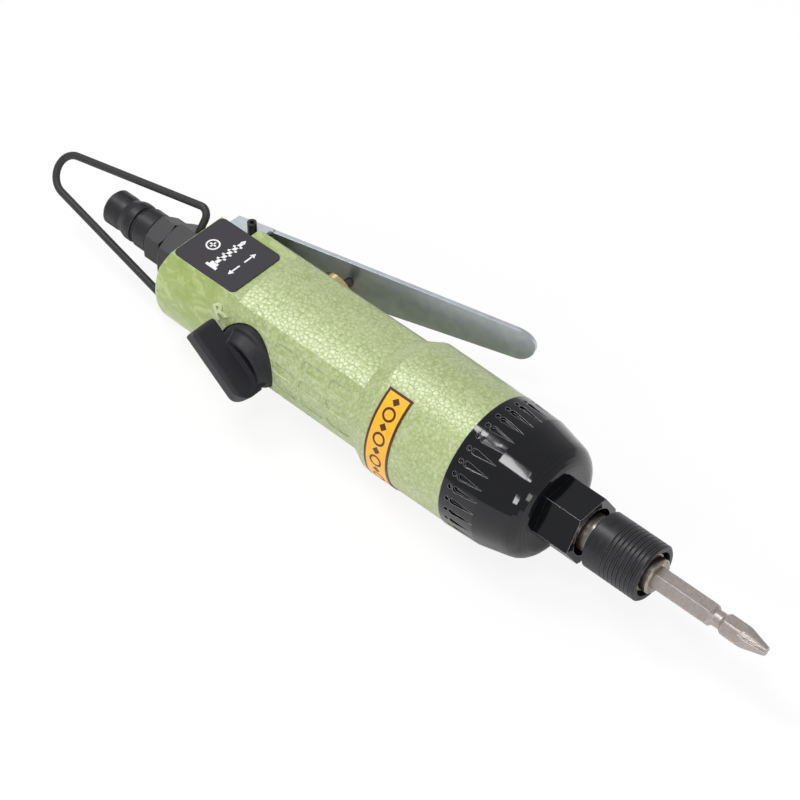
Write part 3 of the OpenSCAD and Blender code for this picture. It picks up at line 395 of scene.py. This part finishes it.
# Edges of the gloss black pieces: a painted highlight.
glint = screen_colour(150, 150, 157)
oxide = black("black_oxide", screen_colour(26, 25, 28), screen_colour(42, 40, 44), 0.4, along=5, shine=0.35,
              rim=worn_and_highlit_black)
oxide.on("hose_plug", "inlet_bushing", "lever_pin")
wire_finish = black("bail_black", screen_colour(42, 41, 42), screen_colour(54, 52, 52), 0.45, shine=0.35,
                    edge=0.8)
wire_finish.on("bail")
sleeve_finish = black("sleeve_black", screen_colour(18, 18, 21), screen_colour(36, 36, 41), 0.34, along=1.6,
                      across=0.25, depth=0.03, shine=0.4, rim=worn_and_highlit_black)
sleeve_finish.on("sleeve")
gloss = black("gloss_black", screen_colour(6, 7, 12), screen_colour(10, 11, 17), 0.07, coat=0.4, along=0.5,
              across=0.5, depth=0.002, shine=0.25, edge=0.3, rim=glint)
gloss.on("hammer_case", "case_cover")

# %% [markdown]
# ## Moulded pieces, film and fibre
# The knob is moulded with a fine grain and full edges, the plate is a printed film, and inside are rubber,
# a fibre gasket and vanes of resin cloth. None is a metal, but the same marks at another scale pass for
# their grain, so no new kind of material is needed.

# %% Knob, plate and inner pieces
knob_finish = black("knob_grain", screen_colour(28, 28, 33), screen_colour(40, 40, 46), 0.45, depth=0.02,
                    edge=1.4)
knob_finish.on("reverse_knob")
plate_finish = black("plate_film", screen_colour(48, 46, 52), screen_colour(58, 56, 62), 0.42)
plate_finish.on("name_plate")
rubber = black("valve_rubber", screen_colour(28, 28, 28), screen_colour(40, 40, 40), 0.7)
rubber.on("valve_disc", "spool_o_ring")
fibre = black("gasket_fibre", screen_colour(86, 66, 50), screen_colour(110, 86, 66), 0.8)
fibre.on("case_gasket")
laminate = black("vane_laminate", screen_colour(110, 76, 46), screen_colour(150, 108, 68), 0.6, along=1,
                 across=8)
laminate.on("vanes")

# %% [markdown]
# ## The side label: film and border
# The label is a printed yellow film with a brown border, rolled round the front body. A picture could carry
# its print, but a print that is worked out from sizes stays sharp from any distance. It is drawn on the
# rolled-out film: one coordinate runs along the tool and the other round the body.

# %% Rolled-out film
label_low, label_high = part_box("side_label")
label_mid = (label_low.x + label_high.x) / 2
label_half = (label_high.x - label_low.x) / 2
label_radius = -label_low.y
label_reach = label_radius * math.asin(label_high.z / label_radius)
border = 0.8 * mm

film = Finish("label_film", roughness=0.4, coat=0.2)
axes = film.add("ShaderNodeSeparateXYZ", Vector=film.place).outputs
across_film = film.maths("ABSOLUTE", film.maths("SUBTRACT", axes["X"], label_mid))
turn_round = film.maths("ARCTAN2", axes["Z"], film.maths("MULTIPLY", axes["Y"], -1.0))
round_film = film.maths("MULTIPLY", turn_round, label_radius)
to_middle = film.maths("ABSOLUTE", round_film)
side_border = film.maths("GREATER_THAN", across_film, label_half - border)
end_border = film.maths("GREATER_THAN", to_middle, label_reach - border)
print("label rolled out to", round(2 * label_reach / mm, 1), "mm")

# %% [markdown]
# ## The side label: its print
# A row of rings and diamonds in dark ink fills the film. A ping-pong of the distance round the body folds
# the row onto one pair, so a ring is drawn once at one end of the fold and a diamond once at the other.

# %% Rings and diamonds
sign_pitch = 4.1 * mm
sign_half = 2.3 * mm
sign_stroke = 0.75 * mm
ring_share = 0.82
diamond_share = 0.6
yellow_patch = 2 * mm
label_yellow = screen_colour(246, 172, 22)
label_pale = screen_colour(250, 182, 34)
label_ink = screen_colour(70, 34, 30)

in_pair = film.maths("PINGPONG", round_film, sign_pitch)
squares = [film.maths("MULTIPLY", side, side) for side in (in_pair, across_film)]
ring_reach = film.maths("SQRT", film.maths("ADD", *squares))
off_ring = film.maths("ABSOLUTE", film.maths("SUBTRACT", ring_reach, sign_half * ring_share))
in_ring = film.maths("LESS_THAN", off_ring, sign_stroke / 2)
off_diamond = film.maths("ADD", film.maths("SUBTRACT", sign_pitch, in_pair), across_film)
in_diamond = film.maths("LESS_THAN", off_diamond, sign_half * diamond_share)
before_end = film.maths("LESS_THAN", to_middle, label_reach - 2 * border)
signs = film.maths("MULTIPLY", film.maths("MAXIMUM", in_ring, in_diamond), before_end)
inked = film.maths("MAXIMUM", film.maths("MAXIMUM", side_border, end_border), signs)
yellow = film.ramp(film.noise(yellow_patch), [(0.3, label_yellow), (0.7, label_pale)])
film.link(film.blend(inked, yellow, label_ink), "Base Color")
film.on("side_label")

# %% [markdown]
# ## Two helpers for new pieces
# An operator acts on all that is selected, so everything is deselected before a piece is made. The parts of
# a piece are then joined, and their place goes into the mesh, because a finished piece sits at the origin.


# %% Deselect and join
def deselect():
    """Clears the selection."""
    bpy.ops.object.select_all(action="DESELECT")


def joined(objects, name):
    """The objects as one piece with that name."""
    deselect()
    for item in objects:
        item.select_set(True)
    bpy.context.view_layer.objects.active = objects[0]
    if len(objects) > 1:
        bpy.ops.object.join()
    bpy.ops.object.transform_apply(location=True, rotation=True, scale=True)
    piece = bpy.context.active_object
    piece.name = name
    return piece


# %% [markdown]
# ## Ink on the name plate: bars, triangles and rings
# The plate's print is white ink. It could be part of the plate's material, but thin raised films have crisp
# edges and are pieces of their own. A bar starts from a cube, a triangle from a cylinder with three sides,
# and a ring is a disc whose middle is inset and deleted. The marks are written in the plate's own
# directions, in millimetres: right is +Y and up is -X.

# %% Bars and triangles
plate_low, plate_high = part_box("name_plate")
plate_mid = (plate_low + plate_high) / 2
ink_thickness = 0.04 * mm
ink_z = plate_high.z + ink_thickness / 2


def plate_place(right, up):
    """A place on the plate, at the middle of the ink's thickness."""
    return (plate_mid.x - up * mm, plate_mid.y + right * mm, ink_z)


def bar(right, up, width, height, turn=0):
    """A printed bar, turned by an angle in degrees."""
    deselect()
    bpy.ops.mesh.primitive_cube_add(size=1, location=plate_place(right, up),
                                    rotation=(0, 0, math.radians(turn)),
                                    scale=(height * mm, width * mm, ink_thickness))
    return bpy.context.active_object


def triangle(right, up, radius, turn=0):
    """A printed triangle, which points right until it is turned."""
    deselect()
    bpy.ops.mesh.primitive_cylinder_add(vertices=3, radius=radius * mm, depth=ink_thickness,
                                        location=plate_place(right, up),
                                        rotation=(0, 0, math.radians(turn)))
    return bpy.context.active_object


# %% A printed ring
ring_corners = 64


def ring(right, up, radius, width):
    """A printed ring with this outer radius and width of line."""
    deselect()
    bpy.ops.mesh.primitive_circle_add(vertices=ring_corners, radius=radius * mm, fill_type="NGON",
                                      location=plate_place(right, up))
    piece = bpy.context.active_object
    bpy.ops.object.mode_set(mode="EDIT")
    bpy.ops.mesh.select_all(action="SELECT")
    bpy.ops.mesh.inset(thickness=width * mm)
    bpy.ops.mesh.delete(type="FACE")
    bpy.ops.object.mode_set(mode="OBJECT")
    thick = piece.modifiers.new("thick", "SOLIDIFY")
    thick.thickness = ink_thickness
    thick.offset = 0
    bpy.ops.object.modifier_apply(modifier=thick.name)
    return piece


# %% [markdown]
# ## Ink on the name plate: the sign
# The sign tells what the tool is for: a cross-slot head above, a screw seen from its side in the middle,
# and two arrows below, because it turns both ways. All of it is joined to one piece that rides the housing.

# %% Plate print
stroke = 0.55
head_up = 6.2
head_radius = 2.3
slot_length = 2.4
screw_bars = {"cap": (-6.8, 1.0, 4.4), "neck": (-5.6, 1.4, 2.8), "core": (0.6, 11.4, 1.2)}
tip_right = 6.9
tip_radius = 1.0
first_thread = -2.6
thread_count = 4
thread_pitch = 2.3
thread_width = 0.7
thread_height = 3.0
thread_lean = 22
arrow_up = -6.2
shaft_right = 2.6
shaft_length = 3.2
arrow_right = 4.8
arrow_radius = 1.1

marks = [ring(0, head_up, head_radius, stroke)]
marks += [bar(0, head_up, width, height) for width, height in ((slot_length, stroke), (stroke, slot_length))]
marks += [bar(right, 0, width, height) for right, width, height in screw_bars.values()]
marks += [triangle(tip_right, 0, tip_radius)]
for count in range(thread_count):
    marks += [bar(first_thread + count * thread_pitch, 0, thread_width, thread_height, thread_lean)]
for side in (-1, 1):
    marks += [bar(side * shaft_right, arrow_up, shaft_length, stroke)]
    marks += [triangle(side * arrow_right, arrow_up, arrow_radius, 90 - 90 * side)]
plate_print = joined(marks, "plate_print")

white_ink = Finish("white_ink", roughness=0.5)
ink_patch = 1.5 * mm
ink_white = white_ink.ramp(white_ink.noise(ink_patch), [(0.3, screen_colour(224, 224, 226)),
                                                        (0.7, screen_colour(240, 240, 242))])
white_ink.link(ink_white, "Base Color")
plate_print.data.materials.clear()
plate_print.data.materials.append(white_ink.material)
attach(plate_print, "housing")
print("plate print has", len(plate_print.data.polygons), "faces")

# %% [markdown]
# ## The letters at the knob
# The casting has a raised R and F beside the reverse knob, one for each way of turning. They could be
# carved from a block, but Blender's text already has good outlines. Each letter is a thick text made a
# mesh, and it is then rolled onto the grip: its height above its own plane becomes the height above the
# grip, and its sideways reach becomes an angle. The knob's middle is read from the spool under it.

# %% Letter helper
knob_low, knob_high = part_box("reverse_spool")
knob_x = (knob_low.x + knob_high.x) / 2
grip_radius = 19 * mm
letter_height = 5 * mm
letter_rise = 0.45 * mm
letter_sink = 0.2 * mm
letter_edge = 0.1 * mm
letter_bold = 0.06 * mm
letter_smooth = math.radians(40)
letter_back = 12.8 * mm
letter_lean = math.radians(45)
letter_angle = math.radians(29.5)
capital_share = 0.7
# The letters' pale edges are a painted highlight.
letter_finish = metal("raised_enamel", screen_colour(184, 196, 142), screen_colour(204, 212, 170), 0.35,
                      0.5, 0.5, metallic=0.1, coat=0.6, edge=0.08, rim=screen_colour(224, 230, 196))


def letter(character, side):
    """A raised letter on one side of the tool's middle; its foot points at the knob."""
    deselect()
    bpy.ops.object.text_add()
    piece = bpy.context.active_object
    piece.data.body = character
    piece.data.align_x = "CENTER"
    piece.data.align_y = "CENTER"
    piece.data.size = letter_height / capital_share
    piece.data.offset = letter_bold
    piece.data.extrude = (letter_rise + letter_sink) / 2
    piece.data.bevel_depth = letter_edge
    piece.data.bevel_resolution = 2
    bpy.ops.object.convert(target="MESH")
    piece.name = "letter_" + character
    for vertex in piece.data.vertices:
        right, up, out = vertex.co
        along = side * right * math.sin(letter_lean) - up * math.cos(letter_lean)
        sideways = -side * up * math.sin(letter_lean) - right * math.cos(letter_lean)
        angle = math.pi - side * letter_angle + sideways / grip_radius
        radius = grip_radius + out + (letter_rise - letter_sink) / 2
        vertex.co = (knob_x - letter_back + along, radius * math.cos(angle), radius * math.sin(angle))
    bpy.ops.object.shade_smooth_by_angle(angle=letter_smooth)
    piece.data.materials.append(letter_finish.material)
    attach(piece, "housing")
    return piece


# %% Raised letters
for character, side in (("R", 1), ("F", -1)):
    print(letter(character, side).name, "rolled onto the grip")

# %% [markdown]
# ## Springs that close up
# Two springs are pressed while the tool works: one under the valve and one inside the sleeve. A CAD spring
# is rigid, so each is made again as a coil, and the travel by which it would shorten is printed.

# %% Coil helper
wire_radius = 0.35 * mm
wire_sides = 10
coil_steps = 20
coil_smooth = math.radians(50)


def coil(name, turned, length, radius, turns, middle):
    """A coil of this length and middle; turned holds the angles that lay its axis down."""
    deselect()
    bpy.ops.mesh.primitive_circle_add(vertices=wire_sides, radius=wire_radius,
                                      location=(radius, 0, wire_radius - length / 2),
                                      rotation=(math.radians(90), 0, 0))
    bpy.ops.object.transform_apply(location=True, rotation=True, scale=True)
    piece = bpy.context.active_object
    screw = piece.modifiers.new("screw", "SCREW")
    screw.screw_offset = (length - 2 * wire_radius) / turns
    screw.iterations = turns
    screw.steps = coil_steps
    screw.render_steps = coil_steps
    bpy.ops.object.modifier_apply(modifier=screw.name)
    bpy.ops.object.mode_set(mode="EDIT")
    bpy.ops.mesh.select_all(action="SELECT")
    bpy.ops.mesh.remove_doubles(threshold=wire_radius * 0.01)
    bpy.ops.mesh.fill_holes(sides=0)
    bpy.ops.mesh.normals_make_consistent(inside=False)
    bpy.ops.object.mode_set(mode="OBJECT")
    piece.rotation_euler = turned
    piece.location = middle
    joined([piece], name)
    bpy.ops.object.shade_smooth_by_angle(angle=coil_smooth)
    piece.data.materials.append(spring_steel.material)
    return piece


# %% [markdown]
# The valve's spring stands across the tool and sits in the housing, so it rides with the housing. The
# sleeve's spring lies along the tool, round the anvil, with its front end on the washer, and it rides with
# the anvil.


# %% Springs
laid_down = {"X": (0, math.radians(90), 0), "Y": (math.radians(-90), 0, 0)}
directions = {"X": Vector((1, 0, 0)), "Y": Vector((0, 1, 0))}


def spring(node, axis, turns, body, travel):
    """A coil in the place of a CAD spring, at the middle of its box; it rides with the body."""
    low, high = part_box(node)
    length = (high - low).dot(directions[axis])
    radius = (high.z - low.z) / 2 - wire_radius
    piece = coil(node + "_coil", laid_down[axis], length, radius, turns, (low + high) / 2)
    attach(piece, body)
    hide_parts(node)
    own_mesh(piece)
    print(piece.name, "shortens from", round(length / mm, 1), "by", round(travel / mm, 1), "mm")


valve_turns = 6
valve_travel = 5.4 * mm
spring("valve_spring", "Y", valve_turns, "housing", valve_travel)
sleeve_turns = 3
sleeve_travel = 2.8 * mm
spring("sleeve_spring", "X", sleeve_turns, "anvil", sleeve_travel)

# %% [markdown]
# ## The floor
# The tool lies on a plain pale floor that reads as white. More light would bleach the tool as well, so the
# floor shows part of its white to the camera only, through a Light Path node. The rest is paper in real
# light, and that part keeps the tool's shadow.

# %% Floor
floor_size = 6
floor_glow = 0.86
paper_patch = 0.4
paper_grey = (0.92, 0.92, 0.92, 1)
paper_white = (0.95, 0.95, 0.95, 1)

deselect()
bpy.ops.mesh.primitive_plane_add(size=floor_size, location=(0, 0, cad_box[0].z))
floor = bpy.context.active_object
floor.name = "floor"
floor_finish = Finish("pale_floor", roughness=0.9, shine=0.1)
paper = floor_finish.ramp(floor_finish.noise(paper_patch), [(0.3, paper_grey), (0.7, paper_white)])
floor_finish.link(paper, "Base Color")
camera_ray = floor_finish.add("ShaderNodeLightPath").outputs["Is Camera Ray"]
seen = floor_finish.maths("MULTIPLY", camera_ray, floor_glow)
white = floor_finish.add("ShaderNodeEmission", Color=(1, 1, 1, 1), Strength=1.0)
mixed = floor_finish.add("ShaderNodeMixShader", Fac=seen)
floor_finish.fill(mixed.inputs[1], floor_finish.shader.outputs["BSDF"])
floor_finish.fill(mixed.inputs[2], white.outputs["Emission"])
output = [node for node in floor_finish.tree.nodes if node.type == "OUTPUT_MATERIAL"][0]
floor_finish.fill(output.inputs["Surface"], mixed.outputs["Shader"])
floor.data.materials.append(floor_finish.material)
print("floor at", round(cad_box[0].z / mm, 1), "mm")

# %% [markdown]
# ## The lamps
# A large oval softbox overhead draws the long highlight on the grip. Two windows of two panes each mirror
# in the glossy cover, a front lamp lifts the bit, and a small lamp behind brightens the lever's cheek. A
# reflection shows where its lamp stands, so each lamp is given by the direction in which it is seen.

# %% Lamps
tool_middle = (cad_box[0] + cad_box[1]) / 2
pane_shift = 0.08
pane_size = (0.09, 0.3)


def lamp(name, direction, distance, size, brightness, shape="RECTANGLE"):
    """A softbox seen from the tool in this direction, in metres; white paper has a brightness of 1."""
    data = bpy.data.lights.new(name, "AREA")
    data.shape = shape
    data.size, data.size_y = size
    data.energy = brightness * math.pi * size[0] * size[1]
    holder = bpy.data.objects.new(name, data)
    bpy.context.scene.collection.objects.link(holder)
    towards = Vector(direction).normalized()
    holder.location = tool_middle + towards * distance
    holder.rotation_mode = "QUATERNION"
    holder.rotation_quaternion = towards.to_track_quat("Z", "Y")
    print("lamp", name, "of brightness", brightness)


lamp("overhead", (-0.45, -0.06, 0.88), 1.1, (0.3, 0.4), 12.4, "ELLIPSE")
for shift in (-pane_shift, pane_shift):
    lamp("window", (0.12 + shift, -0.3, 0.95), 1.1, pane_size, 16)
    lamp("side_window", (0.3 + shift, -0.8, 0.46), 1.1, pane_size, 14)
lamp("front", (0.9, -0.36, 0.3), 1.0, (0.14, 0.22), 5)
lamp("rear", (-0.58, 0.48, 0.66), 1.2, (0.2, 0.2), 1.8)

# %% [markdown]
# ## The room
# A soft light from all sides keeps the shadows open. The camera and clear pieces should still see a white
# room, so the Light Path node gives them the full strength and everything else the low one.

# %% Room
room_light = 0.5
world = bpy.data.worlds.new("room")
bpy.context.scene.world = world
world.use_nodes = True
room = world.node_tree
background = room.nodes["Background"]
background.inputs["Color"].default_value = (1, 1, 1, 1)
paths = room.nodes.new("ShaderNodeLightPath")
direct = room.nodes.new("ShaderNodeMath")
direct.operation = "MAXIMUM"
strength = room.nodes.new("ShaderNodeMapRange")
strength.inputs["To Min"].default_value = room_light
room.links.new(paths.outputs["Is Camera Ray"], direct.inputs[0])
room.links.new(paths.outputs["Is Transmission Ray"], direct.inputs[1])
room.links.new(direct.outputs["Value"], strength.inputs["Value"])
room.links.new(strength.outputs["Result"], background.inputs["Strength"])
print("room light", room_light)

# %% [markdown]
# ## The camera
# The camera stands where the photograph was taken from: up, on the bit's side, with a long lens. It looks
# at a point close to the tool's axis. Its distance and lens were fitted to the tool's outlines in the
# photograph, on the scale that the bit's hexagon gives.

# %% Camera
target = Vector((122.5, 0, 0.27)) * mm
back = Vector((0.4599, -0.4949, 0.7373)).normalized()
distance = 729.4 * mm
sensor = 36
lens_pixels = 2492.3
photo_pixels = 800
camera_data = bpy.data.cameras.new("camera")
camera_data.sensor_width = sensor
camera_data.lens = sensor * lens_pixels / photo_pixels
camera_data.clip_start = 10 * mm
camera = bpy.data.objects.new("camera", camera_data)
bpy.context.scene.collection.objects.link(camera)
camera.location = target + back * distance
camera.rotation_mode = "QUATERNION"
camera.rotation_quaternion = (-back).to_track_quat("-Z", "Y")
bpy.context.scene.camera = camera
bpy.context.scene.view_settings.view_transform = "Standard"
print("camera at", [round(c, 3) for c in camera.location])
